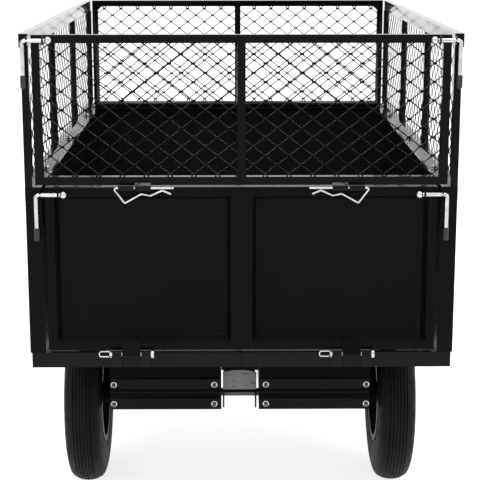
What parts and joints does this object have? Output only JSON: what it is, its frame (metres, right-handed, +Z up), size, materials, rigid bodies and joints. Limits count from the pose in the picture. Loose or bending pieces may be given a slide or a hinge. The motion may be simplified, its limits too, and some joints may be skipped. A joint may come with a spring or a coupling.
{
  "type": "lawn tractor dump trailer",
  "caption": "Two-wheeled garden tipping trailer: black steel bed with diamond-mesh sides, drop tailgate, folding mesh gate, drawbar with clevis and parking stand.",
  "frame": {"origin": "on the ground under the middle of the whole trailer", "axes": "+Y forward to the hitch, +X to the trailer's right, +Z up"},
  "size_m": [0.806, 1.783, 1.062],
  "materials": {
    "black_paint": "gloss",
    "zinc": "bright zinc plate",
    "rim_paint": "gloss",
    "tyre_rubber": "matt",
    "grip_rubber": "matt",
    "pad_rubber": "matt"
  },
  "bodies": {
    "chassis": {"drawbar": "black_paint", "pivot_bracket": "black_paint", "pivot_end_plate": "zinc", "axle": "zinc", "axle_collars": "zinc", "hitch_clevis": "black_paint", "bed_rest": "pad_rubber", "tilt_latch_bracket": "black_paint", "tilt_latch_lever": "black_paint", "stand_pin": "zinc", "stand_stop": "black_paint"},
    "bed": {"floor_left": "black_paint", "floor_right": "black_paint", "side_panel_left": "black_paint", "side_panel_right": "black_paint", "front_panel": "black_paint", "side_mesh_panel_left": "black_paint", "side_mesh_panel_right": "black_paint", "front_mesh_panel": "black_paint", "post_latch_brackets": "black_paint", "side_frame_latch_ears": "black_paint", "bed_hinge_eyes": "black_paint", "tailgate_hinge_pins": "zinc", "latch_striker": "black_paint", "axle_plate_inner_left": "black_paint", "axle_plate_inner_right": "black_paint", "axle_plate_outer_left": "black_paint", "axle_plate_outer_right": "black_paint", "cross_plate_rear_left": "black_paint", "cross_plate_rear_right": "black_paint", "cross_plate_front_left": "black_paint", "cross_plate_front_right": "black_paint"},
    "tailgate": {"tailgate_panel": "black_paint", "tailgate_lower_eyes": "black_paint", "tailgate_upper_eyes": "black_paint", "tailgate_latch_ears": "black_paint", "tailgate_latch_rods": "zinc", "tailgate_latch_grips": "grip_rubber", "gate_hinge_clips": "zinc"},
    "mesh_gate": {"mesh_gate_panel": "black_paint", "mesh_gate_eyes": "black_paint", "mesh_gate_latch_ears": "black_paint", "mesh_gate_latch_rods": "zinc", "mesh_gate_latch_grips": "grip_rubber"},
    "wheel_left": {"tyre_left": "tyre_rubber", "rim_left": "rim_paint"},
    "wheel_right": {"tyre_right": "tyre_rubber", "rim_right": "rim_paint"},
    "stand": {"parking_stand": "black_paint"}
  },
  "joints": [
    {"name": "bed_tip", "type": "hinge", "parent": "chassis", "child": "bed", "pos_m": [0, -0.3335, 0.2], "axis": [1, 0, 0], "range_deg": [0, 42]},
    {"name": "tailgate_drop", "type": "hinge", "parent": "bed", "child": "tailgate", "pos_m": [0, -0.8825, 0.462], "axis": [1, 0, 0], "range_deg": [0, 180]},
    {"name": "mesh_gate_fold", "type": "hinge", "parent": "tailgate", "child": "mesh_gate", "pos_m": [0, -0.8855, 0.781], "axis": [1, 0, 0], "range_deg": [0, 180]},
    {"name": "wheel_left_spin", "type": "hinge", "parent": "chassis", "child": "wheel_left", "pos_m": [-0.346, -0.3335, 0.2], "axis": [1, 0, 0], "continuous": true},
    {"name": "wheel_right_spin", "type": "hinge", "parent": "chassis", "child": "wheel_right", "pos_m": [0.346, -0.3335, 0.2], "axis": [1, 0, 0], "continuous": true},
    {"name": "stand_fold", "type": "hinge", "parent": "chassis", "child": "stand", "pos_m": [0, 0.6865, 0.32], "axis": [-1, 0, 0], "range_deg": [0, 90]}
  ]
}
